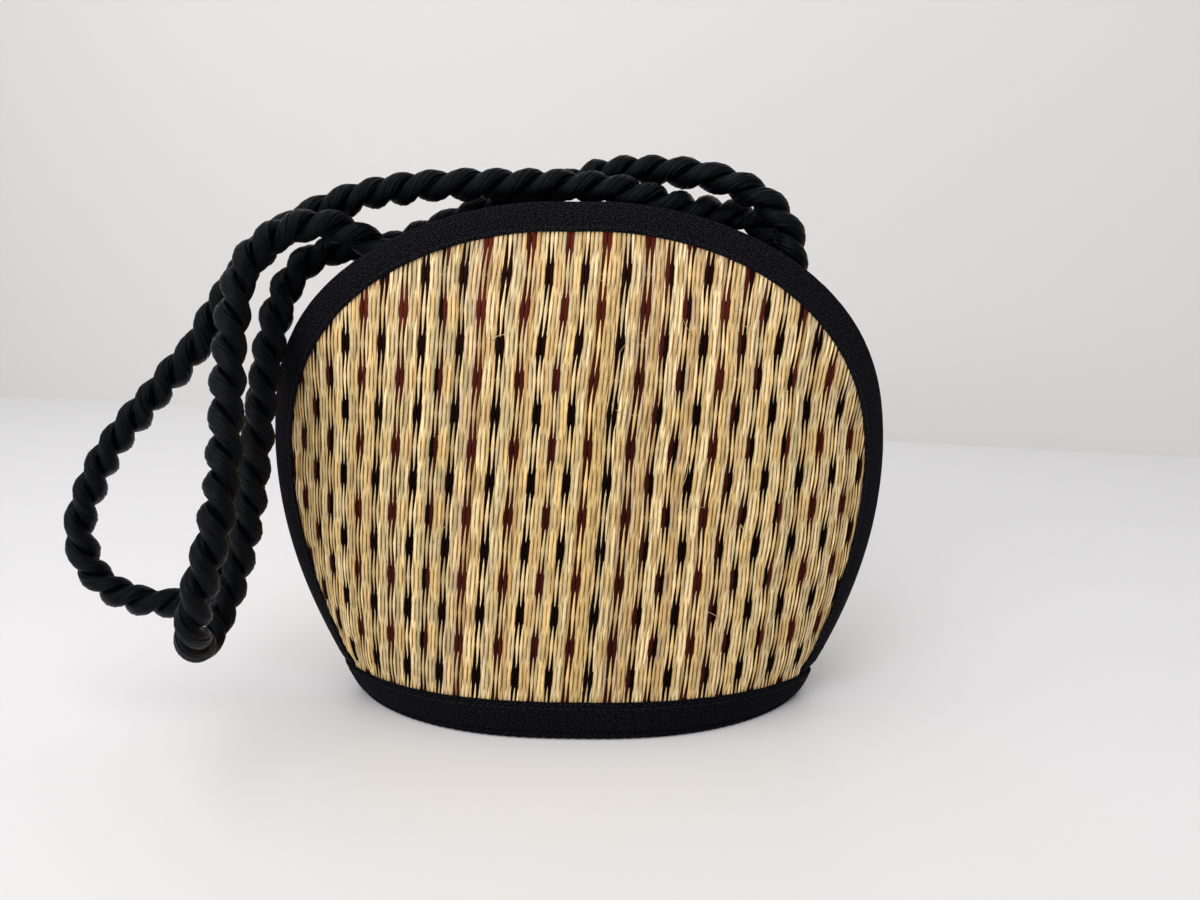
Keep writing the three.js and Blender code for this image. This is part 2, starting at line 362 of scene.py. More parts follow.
BACK_HANDLE_ROUTE = (
    (66, 17.6, 147), (73, 14.4, 155.5), (76.8, 12.6, 165), (76, 11.4, 174.2), (71.2, 10, 182),
    (63, 8.6, 187.2), (50, 4.8, 189), (35, -3, 191), (21, -7, 194.8), (5.5, -8.5, 196.8),
    (-48, -8, 197.5), (-64.5, -7, 196), (-78.5, -6, 193.5),
    (-100.5, -6.5, 185), (-110, -8, 178.5), (-119, -10, 169), (-128.5, -12, 156),
    (-138.5, -14, 140.5), (-151, -15, 127), (-173, -17, 102.5), (-181, -18, 88.5),
    (-185.5, -20, 76), (-185.5, -21, 65.5), (-182, -22, 56.5), (-173.5, -23, 49),
    (-162, -24, 45.5), (-150, -23, 45), (-140.5, -20, 49), (-133.5, -15, 58), (-129, -9, 71),
    (-124.5, 2, 110.5), (-117.5, 9, 146), (-113.5, 11.5, 159), (-106.5, 13, 169),
    (-95.5, 13, 175), (-84.5, 13, 176), (-66, 13, 172), (-55, 14.5, 164), (-48, 18.5, 153),
    (-45, 20, 144),
)
SPAN_STEPS = 16

# Camera and stage
CAMERA_PLACE = (17.86, -346.65, 173.4)
CAMERA_TILT = 78.0
CAMERA_TURN = 1.5
CAMERA_LENS = 27.6
CAMERA_SENSOR = 36.0
FLOOR_REACH = 3000
WALL_LEFT = (-700, 760)
WALL_RIGHT = (640, 420)
WALL_HEIGHT = 1500
CAMERA_NEAR = 10
TABLE_FINISH = ((0.82, 0.82, 0.84), 0.42)
WALL_FINISH = ((0.75, 0.75, 0.75), 0.7)
ROOM_TINT = (1.0, 0.985, 0.97, 1)
ROOM_STRENGTH = 0.38
SOFTBOXES = (
    # name, place, spot it faces, width and depth, power, tint
    ("overhead", (-360, -420, 1250), (0, 0, 80), (1700, 1200), 12.0, (1.0, 0.985, 0.965)),
    ("front", (-700, -1150, 700), (0, 0, 100), (900, 700), 8.8, (1.0, 0.98, 0.955)),
)


# Smooth step from 0 at low to 1 at high
def eased(value, low, high):
    share = np.clip((value - low) / (high - low), 0, 1)
    return share * share * (3 - 2 * share)


def between(low, high, share):
    return low + (high - low) * share


def unit(vectors):
    return vectors / np.linalg.norm(vectors, axis=-1, keepdims=True)


# Half the width of a panel at a height
def half_width(z):
    lower = PANEL_HALF_WIDTH - FLARE * ((WIDEST_AT - z) / WIDEST_AT) ** 2
    rise = np.clip((z - WIDEST_AT) / (PANEL_TOP - WIDEST_AT), 0, 1)
    upper = PANEL_HALF_WIDTH * (1 - rise**DOME_FULLNESS) ** (1 / DOME_FULLNESS)
    return np.where(z <= WIDEST_AT, lower, upper)


# How far the middle of a panel stands in front of the seam plane
def middle_depth(z):
    rise = z / PANEL_TOP
    return between(PANEL_BASE_DEPTH, MOUTH / 2, rise) + 4 * BELLY * rise * (1 - rise)


# How far the edge of a panel stands in front of the seam plane
def edge_depth(z):
    seam = between(SEAM_AT_BASE, SEAM_AT_WIDEST, eased(z, OVAL_UP_TO, FLAT_FROM)) / 2
    return between(seam, MOUTH / 2, eased(z, MOUTH_OPENS_AT, MOUTH_FULL_AT))


# The oval's depth at a share of its half length, as a share of its depth in the middle
def oval_depth(along):
    return np.clip(1 - np.abs(along) ** OVAL_FULLNESS, 0, 1) ** OVAL_ROUNDING


# The share of the oval's half length at which a panel's edge lies
def oval_end(z):
    return (1 - (edge_depth(z) / middle_depth(z)) ** (1 / OVAL_ROUNDING)) ** (1 / OVAL_FULLNESS)


# Points in the middle of the front panel's wall, with across from -1 to 1
def wall_point(across, z):
    depth = middle_depth(z)
    edge = edge_depth(z)
    end = oval_end(z)
    along = np.sin(across * np.arcsin(end))
    flat = eased(z, OVAL_UP_TO, FLAT_FROM)
    x = half_width(z) * between(along / end, across, flat)
    bowed = edge + (depth - edge) * (1 - np.abs(across) ** FLATNESS)
    y = between(depth * oval_depth(along), bowed, flat)
    return np.stack(np.broadcast_arrays(x, -y, z), -1)


# The direction straight out of the front panel
def wall_normal(across, z):
    sideways = wall_point(across + SLOPE_STEP, z) - wall_point(across - SLOPE_STEP, z)
    upward = wall_point(across, z + SLOPE_STEP) - wall_point(across, z - SLOPE_STEP)
    return unit(np.cross(sideways, upward))


# The places across a panel that lie at given x
def across_at(x, z):
    low = -np.ones_like(x)
    high = np.ones_like(x)
    for _ in range(HALVINGS):
        middle = (low + high) / 2
        is_left = wall_point(middle, z)[..., 0] < x
        low = np.where(is_left, middle, low)
        high = np.where(is_left, high, middle)
    return (low + high) / 2


# Points on an oval of a half length and depth
def on_oval(length, depth, angle, z):
    y = np.sign(np.sin(angle)) * depth * oval_depth(np.cos(angle))
    return np.stack(np.broadcast_arrays(length * np.cos(angle), y, z), -1)


# Points on the whole oval round the foot of both panels
def oval_point(angle, z):
    return on_oval(half_width(z) / oval_end(z), middle_depth(z), angle, z)


def oval_normal(angle, z):
    sideways = oval_point(angle + SLOPE_STEP, z) - oval_point(angle - SLOPE_STEP, z)
    upward = oval_point(angle, z + SLOPE_STEP) - oval_point(angle, z - SLOPE_STEP)
    return unit(np.cross(sideways, upward))


# Soft irregular ripples along a length, made of a few waves of about one wavelength
def ripples(length, wavelength, seed, waves=7):
    rng = np.random.default_rng(seed)
    total = np.zeros_like(length)
    for _ in range(waves):
        size = wavelength * rng.uniform(0.55, 1.9)
        total += np.sin(2 * math.pi * length / size + rng.uniform(0, 2 * math.pi))
    return total / math.sqrt(waves)


# Ripples from a row of their size and wavelength
def waver(length, row, seed):
    size, wavelength = row
    return size * ripples(length, wavelength, seed)


# A new object at the origin that rides on the bag
def make_piece(name, mesh, material, replaced=()):
    piece = bpy.data.objects.new(name, mesh)
    bpy.context.scene.collection.objects.link(piece)
    mesh.materials.append(material)
    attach(piece, "root")
    if replaced:
        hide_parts(*replaced)
    return piece


# Distances along a row of points
def run_along(points):
    return np.concatenate([[0], np.cumsum(np.linalg.norm(np.diff(points, axis=0), axis=1))])


# Distances along each row of a grid of points
def run_across(rows):
    walked = np.cumsum(np.linalg.norm(np.diff(rows, axis=1), axis=2), axis=1)
    return np.pad(walked, ((0, 0), (1, 0)))


# Values at given distances along a run
def at_run(distances, run, values):
    return np.stack([np.interp(distances, run, values[:, axis]) for axis in range(3)], 1)


# Cloth laid as grids: each grid has its steps, the distances in millimetres of its steps across
# and its length for the weave, and a function that gives places for arrays of u and v from 0 to 1
def laid_mesh(name, grids):
    bm = bmesh.new()
    uv_layer = bm.loops.layers.uv.new("UVMap")
    for (u_steps, v_steps), (u_marks, v_size), place in grids:
        before = len(bm.verts)
        faces_before = len(bm.faces)
        bmesh.ops.create_grid(bm, x_segments=u_steps, y_segments=v_steps, size=0.5, calc_uvs=True)
        bm.verts.ensure_lookup_table()
        bm.faces.ensure_lookup_table()
        verts = bm.verts[before:]
        corners = np.array([vert.co[:2] for vert in verts]) + 0.5
        for vert, spot in zip(verts, place(corners[:, 0], corners[:, 1]) * MM):
            vert.co = spot
        for face in bm.faces[faces_before:]:
            face.smooth = True
            for loop in face.loops:
                u, v = loop[uv_layer].uv
                loop[uv_layer].uv = (u_marks[round(u * u_steps)], v * v_size)
    bmesh.ops.remove_doubles(bm, verts=bm.verts[:], dist=WELD * MM)
    bmesh.ops.recalc_face_normals(bm, faces=bm.faces[:])
    mesh = bpy.data.meshes.new(name)
    bm.to_mesh(mesh)
    bm.free()
    return mesh


# A cloth thickness on both sides of a laid sheet
def thicken(piece, thickness):
    wall = piece.modifiers.new("cloth thickness", "SOLIDIFY")
    wall.thickness = thickness * MM
    wall.offset = 0
    wall.use_even_offset = True


# Short names for shader nodes: inputs given by name are values or other nodes' sockets
def add_node(tree, kind, inputs=None, **settings):
    made = tree.nodes.new(kind)
    for name, value in settings.items():
        setattr(made, name, value)
    for name, value in (inputs or {}).items():
        if isinstance(value, bpy.types.NodeSocket):
            tree.links.new(value, made.inputs[name])
        else:
            made.inputs[name].default_value = value
    return made


def math_node(tree, operation, first, second=0.0):
    return add_node(tree, "ShaderNodeMath", {0: first, 1: second}, operation=operation).outputs[0]


def mix_colours(tree, factor, first, second, blend="MIX"):
    mixed = add_node(tree, "ShaderNodeMix", {0: factor, 6: first, 7: second},
                     data_type="RGBA", blend_type=blend)
    return mixed.outputs[2]


# A value carried from one range to another
def mapped(tree, value, source=(0.0, 1.0), target=(0.0, 1.0), kind="LINEAR"):
    inputs = {"Value": value, "From Min": source[0], "From Max": source[1],
              "To Min": target[0], "To Max": target[1]}
    return add_node(tree, "ShaderNodeMapRange", inputs, interpolation_type=kind).outputs[0]


# A bump from a row of its strength and its depth in millimetres
def bumped(tree, row, height, under=None):
    strength, depth = row
    inputs = {"Strength": strength, "Distance": depth * MM, "Height": height}
    if under is not None:
        inputs["Normal"] = under
    return add_node(tree, "ShaderNodeBump", inputs).outputs[0]


def read_attribute(tree, name, output):
    return add_node(tree, "ShaderNodeAttribute", attribute_name=name).outputs[output]


def add_group(tree, group, inputs):
    return add_node(tree, "ShaderNodeGroup", inputs, node_tree=group).outputs


def new_group(name, inputs, outputs):
    tree = bpy.data.node_groups.new(name, "ShaderNodeTree")
    for socket, kind, value in inputs:
        made = tree.interface.new_socket(name=socket, in_out="INPUT", socket_type=kind)
        made.default_value = value
    for socket, kind in outputs:
        tree.interface.new_socket(name=socket, in_out="OUTPUT", socket_type=kind)
    start = tree.nodes.new("NodeGroupInput")
    end = tree.nodes.new("NodeGroupOutput")
    return tree, start.outputs, end.inputs


# Plain-woven cloth: threads over and under each other, with flecks of lint
def plain_weave_group():
    inputs = (("Place", "NodeSocketVector", (0, 0, 0)), ("Thread", "NodeSocketFloat", 0.5))
    outputs = (("Height", "NodeSocketFloat"), ("Fleck", "NodeSocketFloat"))
    tree, given, result = new_group("plain weave", inputs, outputs)
    apart = add_node(tree, "ShaderNodeSeparateXYZ", {0: given["Place"]}).outputs
    waves = []
    for axis in ("X", "Y"):
        turns = math_node(tree, "DIVIDE", apart[axis], given["Thread"])
        waves.append(math_node(tree, "SINE", math_node(tree, "MULTIPLY", turns, math.pi)))
    crossing = math_node(tree, "MULTIPLY", waves[0], waves[1])
    tree.links.new(math_node(tree, "MULTIPLY_ADD", crossing, 0.5), result["Height"])
    lint = add_node(tree, "ShaderNodeTexNoise",
                    {"Vector": given["Place"], **LINT})
    tree.links.new(lint.outputs["Fac"], result["Fleck"])
    return tree


# Fibres that run along a strip, drawn out many times longer than wide
def fibre_group():
    inputs = (("Place", "NodeSocketVector", (0, 0, 0)), ("Fineness", "NodeSocketFloat", 3.0),
              ("Stretch", "NodeSocketFloat", 20.0))
    outputs = (("Streak", "NodeSocketFloat"), ("Patch", "NodeSocketFloat"))
    tree, given, result = new_group("lengthwise fibres", inputs, outputs)
    apart = add_node(tree, "ShaderNodeSeparateXYZ", {0: given["Place"]}).outputs
    along = math_node(tree, "DIVIDE", apart["Y"], given["Stretch"])
    drawn = add_node(tree, "ShaderNodeCombineXYZ", {"X": apart["X"], "Y": along, "Z": apart["Z"]})
    streak = add_node(tree, "ShaderNodeTexNoise",
                      {"Vector": drawn.outputs[0], "Scale": given["Fineness"], "Detail": STREAK_DETAIL})
    tree.links.new(streak.outputs["Fac"], result["Streak"])
    patch = add_node(tree, "ShaderNodeTexNoise", {"Vector": given["Place"], **PATCHES})
    tree.links.new(patch.outputs["Fac"], result["Patch"])
    return tree


PLAIN_WEAVE = plain_weave_group()
FIBRES = fibre_group()


def new_material(name):
    material = bpy.data.materials.new(name)
    material.use_nodes = True
    tree = material.node_tree
    return material, tree, tree.nodes["Principled BSDF"]


def set_shader(shader, **values):
    for name, value in values.items():
        shader.inputs[name.replace("_", " ")].default_value = value


# Short dark creases across some reeds where they bend over a thread
def crease_shade(tree, patch):
    crossing = read_attribute(tree, "crossing", "Fac")
    away = math_node(tree, "PINGPONG", crossing, WARP_SPACING)
    near = mapped(tree, away, CREASE_NEAR, (1.0, 0.0))
    wave = math_node(tree, "SINE", math_node(tree, "MULTIPLY", away, CREASE_TURNS))
    line = mapped(tree, wave, CREASE_LINE)
    some = mapped(tree, patch, CREASED_PATCHES)
    mask = math_node(tree, "MULTIPLY", math_node(tree, "MULTIPLY", near, line), some)
    return math_node(tree, "SUBTRACT", 1.0, math_node(tree, "MULTIPLY", mask, CREASE_DEPTH))


# Painted shade: warm dark grooves along both sides of each reed, where its neighbours shade it
def painted_groove_shade(tree):
    edge = read_attribute(tree, "edge", "Fac")
    depth = mapped(tree, edge, (PAINTED_GROOVE_FROM, 1.0), kind="SMOOTHSTEP")
    return mix_colours(tree, depth, (1, 1, 1, 1), PAINTED_GROOVE_SHADE)


# Split reed: its own tint with painted shade, fine fibres, creases and painted shade in the grooves
def reed_material():
    material, tree, shader = new_material("split reed")
    tint = read_attribute(tree, "tint", "Color")
    place = read_attribute(tree, "place", "Vector")
    fibres = add_group(tree, FIBRES, {"Place": place, **REED_FIBRES})
    streak = mapped(tree, fibres["Streak"], NOISE_MIDDLE, REED_STREAK_SHADE)
    patch = mapped(tree, fibres["Patch"], NOISE_MIDDLE, REED_PATCH_SHADE)
    shade = math_node(tree, "MULTIPLY", streak, patch)
    shade = math_node(tree, "MULTIPLY", shade, crease_shade(tree, fibres["Patch"]))
    colour = add_node(tree, "ShaderNodeVectorMath", {0: tint, 1: shade}, operation="MULTIPLY").outputs[0]
    colour = mix_colours(tree, 1.0, colour, painted_groove_shade(tree), "MULTIPLY")
    tree.links.new(colour, shader.inputs["Base Color"])
    rough = mapped(tree, fibres["Streak"], target=REED_ROUGHNESS)
    tree.links.new(rough, shader.inputs["Roughness"])
    bump = bumped(tree, REED_BUMP, fibres["Streak"])
    tree.links.new(bump, shader.inputs["Normal"])
    set_shader(shader, Specular_IOR_Level=0.03)
    return material


# Black cloth with a plain weave; reads its threads from the piece's own map or from its place
def cloth_material(name, tone, lint, follows_map):
    material, tree, shader = new_material(name)
    if follows_map:
        place = add_node(tree, "ShaderNodeUVMap", uv_map="UVMap").outputs["UV"]
    else:
        spot = add_node(tree, "ShaderNodeTexCoord").outputs["Object"]
        scaled = add_node(tree, "ShaderNodeMapping", {"Vector": spot, "Scale": (1 / MM,) * 3})
        place = scaled.outputs[0]
    weave = add_group(tree, PLAIN_WEAVE, {"Place": place, "Thread": CLOTH_THREAD})
    light = tuple(lint * channel for channel in tone)
    # Painted shade: the cloth is darker where its threads dip
    dark = tuple(CLOTH_WEAVE_PAINTED_SHADE * channel for channel in tone)
    woven = mix_colours(tree, weave["Height"], (*dark, 1), (*tone, 1))
    fleck = mapped(tree, weave["Fleck"], CLOTH_FLECKS)
    colour = mix_colours(tree, fleck, woven, (*light, 1))
    tree.links.new(colour, shader.inputs["Base Color"])
    fine = bumped(tree, CLOTH_THREAD_BUMP, weave["Height"])
    bump = bumped(tree, CLOTH_LINT_BUMP, weave["Fleck"], fine)
    tree.links.new(bump, shader.inputs["Normal"])
    set_shader(shader, Roughness=0.66, Specular_IOR_Level=0.012, Sheen_Weight=0.010,
               Sheen_Roughness=0.5, Sheen_Tint=(0.75, 0.82, 1.0, 1.0))
    return material


# Black satin over the rope's strands, with fine creases along each strand and painted shade and sheen along
# them
def satin_material():
    material, tree, shader = new_material("black satin rope")
    place = add_node(tree, "ShaderNodeUVMap", uv_map="UVMap").outputs["UV"]
    creases = add_group(tree, FIBRES, {"Place": place, **SATIN_CREASES})
    weave = add_group(tree, PLAIN_WEAVE, {"Place": place, "Thread": SATIN_THREAD})
    # Painted shade and sheen along the creases, from the same streaks as their bump
    drawn = mix_colours(tree, creases["Streak"], SATIN_PAINTED_SHADE, SATIN_PAINTED_SHEEN)
    fleck = mapped(tree, weave["Fleck"], SATIN_FLECKS)
    colour = mix_colours(tree, fleck, drawn, SATIN_FLECK)
    tree.links.new(colour, shader.inputs["Base Color"])
    rough = mapped(tree, creases["Patch"], target=SATIN_ROUGHNESS)
    tree.links.new(rough, shader.inputs["Roughness"])
    fine = bumped(tree, SATIN_THREAD_BUMP, weave["Height"])
    bump = bumped(tree, SATIN_CREASE_BUMP, creases["Streak"], fine)
    tree.links.new(bump, shader.inputs["Normal"])
    set_shader(shader, Specular_IOR_Level=0.105, Specular_Tint=(0.78, 0.86, 1.0, 1.0),
               Sheen_Weight=0.005, Sheen_Roughness=0.35, Sheen_Tint=(0.7, 0.8, 1.0, 1.0))
    return material


# Twisted sewing thread
def thread_material():
    material, tree, shader = new_material("black thread")
    spot = add_node(tree, "ShaderNodeTexCoord").outputs["Object"]
    twist = add_node(tree, "ShaderNodeTexNoise", {"Vector": spot, **SEWING_TWIST})
    colour = mix_colours(tree, twist.outputs["Fac"], SEWING_DARK, SEWING_LIGHT)
    tree.links.new(colour, shader.inputs["Base Color"])
    set_shader(shader, Roughness=0.5, Specular_IOR_Level=0.15)
    return material


# The reeds of one panel, with their places along the wall and their colours
def reed_plan(rng, widest):
    pitch = REPEAT / REEDS_PER_REPEAT
    count = int(widest / pitch) + REEDS_PER_REPEAT
    dark_places = BLACK_PLACES + MAROON_PLACES
    shares = np.array([row[3] for row in PLAIN_REEDS])
    drift = waver(np.arange(-count, count + 1) * pitch, LINE_DRIFT, rng.integers(DRIFT_SEEDS))
    plan = []
    for index in range(-count, count + 1):
        place = index % REEDS_PER_REPEAT
        tint = np.array(PLAIN_REEDS[rng.choice(len(PLAIN_REEDS), p=shares / shares.sum())][:3])
        tint = tint * rng.uniform(*PLAIN_TINT_SPREAD)
        is_swapped = rng.random() < MIXED_PAIR_SHARE
        is_dark = place in dark_places
        is_maroon = is_dark and (place in MAROON_PLACES) != is_swapped
        line = BLACK_PAIR_AT + (index - 1) * pitch + drift[index + count]
        neighbours = {(place - 1) % REEDS_PER_REPEAT, (place + 1) % REEDS_PER_REPEAT}
        kind = "beside a dark one" if neighbours & set(dark_places) else "free"
        colour = "plain"
        if is_dark:
            kind = "dark"
            colour = "maroon" if is_maroon else "black"
            tint = np.array(MAROON_REED if is_maroon else BLACK_REED) * rng.uniform(*DARK_TINT_SPREAD)
            line += DARK_SQUEEZE * (1 if place in (BLACK_PLACES[0], MAROON_PLACES[0]) else -1)
        plan.append((line + rng.normal(0, LINE_SCATTER), index % 2, tint, colour, kind))
    return plan


# One reed's lifts, widths, thicknesses, tints with painted shade where it dips, and places along the weave,
# for its heights
def reed_strip(rng, level, phase, tint, colour, kind):
    widest, solid, tip, hollow, narrowest, slack, raised, painted_dip_shade = REED_KINDS[kind]
    slip = slack * ripples(level, SLIP_WAVELENGTH, rng.integers(REED_SEEDS))
    from_peak = level - BLACK_LEVEL + WARP_SPACING * phase + slip
    swing = np.cos(math.pi * from_peak / WARP_SPACING)
    lift = raised + WEAVE_DEPTH * swing * rng.uniform(*WEAVE_DEPTH_SPREAD, len(level))
    from_float = WARP_SPACING / math.pi * np.arccos(swing)
    leaf = between(1, narrowest, np.clip((from_float - solid) / (tip - solid), 0, 1) ** hollow)
    leaf = np.maximum(leaf, UNDER_SHARE * eased(from_float, UNDER_FROM, UNDER_FULL))
    width = widest * rng.uniform(*REED_WIDTH_SPREAD) * leaf
    thick = REED_THICKNESS * between(REED_THIN, 1, eased(swing, *THICKENS_OVER_SWING))
    mottled = 1 + waver(level, MOTTLE, rng.integers(REED_SEEDS))
    # Painted shade where the reed dips under the others, warmer as it darkens
    painted_valley_shade = between(painted_dip_shade, 1, eased(swing, *PAINTED_DIP_SWING))
    # Lighter towards the top of the panel
    lightened = 1 + eased(level, *TOPWARD_LIGHTENING_HEIGHTS)[:, None] * np.array(TOPWARD_LIGHTENING[colour])
    tone = tint * lightened * mottled[:, None] * painted_valley_shade[:, None] ** np.array(WARMTH_IN_PAINTED_SHADE)
    return level, lift, width, thick, tone, from_peak


# A thin strip that is the same all along, as a thread or a fibre is
def thin_strip(spot, level, lift, across, tint):
    even = np.ones(len(spot))
    tone = np.tile(tint, (len(spot), 1))
    return spot, level * even, lift * even, across * even, across * even, tone, CREASE_FREE * even


# Every reed and thread of a panel as strips with a kite-shaped section, in one mesh
def woven_mesh(name, seed, front):
    rng = np.random.default_rng(seed)
    row_step = WARP_SPACING / ROWS_PER_WARP
    first = math.ceil((REED_FOOT - BLACK_LEVEL) / row_step)
    last = math.floor((PANEL_TOP - REED_TOP_CUT - BLACK_LEVEL) / row_step)
    steps = np.arange(first, last + 1)
    heights = BLACK_LEVEL + row_step * steps
    across = np.linspace(-1, 1, WALL_SAMPLES)
    arcs = run_across(wall_point(across[None, :], heights[:, None]))
    arcs -= arcs[:, [len(across) // 2]]
    limits = arcs[:, -1] - REED_TUCK
    strips = []
    for line, phase, tint, colour, kind in reed_plan(rng, limits.max()):
        wobble = waver(heights, OWN_WOBBLE, rng.integers(REED_SEEDS))
        wobble += waver(heights + SHARED_SLANT * line, SHARED_WOBBLE, seed)
        arc = line + REED_LEAN * (heights - WIDEST_AT) + wobble
        inside = np.flatnonzero(np.abs(arc) < limits)
        if len(inside) < FEWEST_ROWS:
            continue
        spot = np.array([np.interp(arc[row], arcs[row], across) for row in inside])
        strips.append((spot, *reed_strip(rng, heights[inside], phase, tint, colour, kind)))
    for level in heights[steps % ROWS_PER_WARP == 0]:
        spot = np.linspace(-THREAD_SPREAD, THREAD_SPREAD, THREAD_STEPS)
        strips.append(thin_strip(spot, level, THREAD_LIFT, THREAD_ACROSS, THREAD_TINT))
    return strip_mesh(name, strips + loose_fibres(rng), front)


def loose_fibres(rng):
    fibres = []
    step = np.linspace(0, 1, FIBRE_STEPS)
    for _ in range(LOOSE_FIBRES):
        length = rng.uniform(*FIBRE_LENGTHS)
        slant = rng.normal(*FIBRE_LEAN) + rng.normal(0, FIBRE_CURL) * step
        level = rng.uniform(*FIBRE_HEIGHTS) + length * step * np.cos(slant)
        spot = rng.uniform(-FIBRE_SPREAD, FIBRE_SPREAD) + length * step * np.sin(slant) / half_width(level)
        peak = rng.uniform(*FIBRE_PEAKS)
        lift = between(FIBRE_LIFT, peak, np.sin(step * rng.uniform(*FIBRE_ARCHES)))
        tint = np.array(PLAIN_REEDS[0][:3]) * rng.uniform(*FIBRE_SHADES)
        fibres.append(thin_strip(spot, level, lift, FIBRE_ACROSS, tint))
    return fibres


# Strips along a panel's wall: each has its places, lifts, widths, thicknesses, tints and how far
# along it the nearest crossing is
def strip_mesh(name, strips, front):
    points, faces, tints_with_painted_shade, places, crossings, edges = [], [], [], [], [], []
    reach, rise, shade = np.array(REED_SECTION).T
    sides = len(REED_SECTION)
    corner = np.arange(sides)
    total = 0
    for number, (spot, level, lift, width, thickness, tone, from_peak) in enumerate(strips):
        count = len(spot)
        normal = wall_normal(spot, level)
        centre = wall_point(spot, level) + normal * lift[:, None]
        along = unit(np.gradient(centre, axis=0))
        side = unit(np.cross(along, normal)) * width[:, None] / 2
        up = normal * thickness[:, None] / 2
        rings = centre[:, None] + side[:, None] * reach[:, None] + up[:, None] * rise[:, None]
        rings[..., 1] *= front
        grain_across = reach * width[:, None] / 2 + GRAIN_APART_ACROSS * number
        grain_along = np.tile(run_along(centre)[:, None] + GRAIN_APART_ALONG * number, sides)
        place = np.stack([grain_across, grain_along, np.tile(GRAIN_UNDERSIDE * (rise < 0), (count, 1))], -1)
        ring = sides * np.arange(count - 1)[:, None]
        quads = np.stack([ring + corner, ring + (corner + 1) % sides,
                          ring + sides + (corner + 1) % sides, ring + sides + corner], -1)
        caps = np.array([corner[::-1], sides * (count - 1) + corner])
        points.append(rings.reshape(-1, 3))
        faces.append(np.concatenate([quads.reshape(-1, 4), caps]) + total)
        # The section's painted shade darkens each strip's sides and underside
        tints_with_painted_shade.append((tone[:, None] * shade[:, None]).reshape(-1, 3))
        places.append(place.reshape(-1, 3))
        crossings.append(np.repeat(from_peak, sides))
        edges.append(np.tile(np.abs(reach), count))
        total += sides * count
    mesh = bpy.data.meshes.new(name)
    quads = np.concatenate(faces)[:, ::int(front)].tolist()
    mesh.from_pydata(np.concatenate(points) * MM, [], quads)
    tint = np.concatenate(tints_with_painted_shade)
    colours = np.concatenate([tint, np.ones((len(tint), 1))], 1)
    layers = (
        # name, kind, field, values
        ("tint", "FLOAT_COLOR", "color", colours),
        ("place", "FLOAT_VECTOR", "vector", np.concatenate(places)),
        ("edge", "FLOAT", "value", np.concatenate(edges)),
        ("crossing", "FLOAT", "value", np.concatenate(crossings)),
    )
    for label, kind, field, values in layers:
        attribute = mesh.attributes.new(label, kind, "POINT")
        attribute.data.foreach_set(field, values.astype(np.float32).ravel())
    mesh.shade_smooth()
    ends = np.empty(2 * len(mesh.edges), np.int32)
    mesh.edges.foreach_get("vertices", ends)
    ends = ends.reshape(-1, 2)
    is_side = (rise[ends % sides] == 0).all(1) & (np.abs(ends[:, 0] - ends[:, 1]) == sides)
    attribute = mesh.attributes.new("sharp_edge", "BOOLEAN", "EDGE")
    attribute.data.foreach_set("value", is_side)
    return mesh


# The arched edge of the front panel in even steps from the left foot to the right foot, and a
# strip of the wall inside it: points, normals and the outward direction at the edge
def edge_strip():
    run = np.linspace(0, 1, EDGE_SAMPLES)
    climb = 1 - np.abs(2 * run - 1)
    foot = BINDING_FOOT - BINDING_TUCK
    rise = foot + (PANEL_TOP - BINDING_PEAK_CUT - foot) * np.sin(climb * math.pi / 2)
    fine = wall_point(np.where(run < 0.5, -1.0, 1.0), rise)
    length = run_along(fine)
    even = np.linspace(0, length[-1], BINDING_STEPS + 1)
    edge = at_run(even, length, fine)
    along = unit(np.gradient(edge, axis=0))
    inward = unit(np.stack([along[:, 2], 0 * along[:, 0], -along[:, 0]], 1))
    reach = np.linspace(0, 2 * BINDING_REACH, REACH_SAMPLES)
    x = edge[:, None, 0] + inward[:, None, 0] * reach
    z = edge[:, None, 2] + inward[:, None, 2] * reach
    spot = across_at(x, z)
    wall = wall_point(spot, z)
    normal = wall_normal(spot, z)
    outward = unit(wall[:, 0] - wall[:, OUTWARD_SAMPLE])
    return even, run_across(wall), wall, normal, outward


EDGE_LENGTHS, EDGE_WALKED, EDGE_WALL, EDGE_NORMALS, EDGE_OUTWARD = edge_strip()


# Wall points and normals at a distance inside the edge, for every step along it
def inside_edge(distance):
    rows = range(len(EDGE_LENGTHS))

    def sampled(values):
        return np.array([[np.interp(distance, EDGE_WALKED[row], values[row, :, axis])
                          for axis in range(3)] for row in rows])

    return sampled(EDGE_WALL), unit(sampled(EDGE_NORMALS))


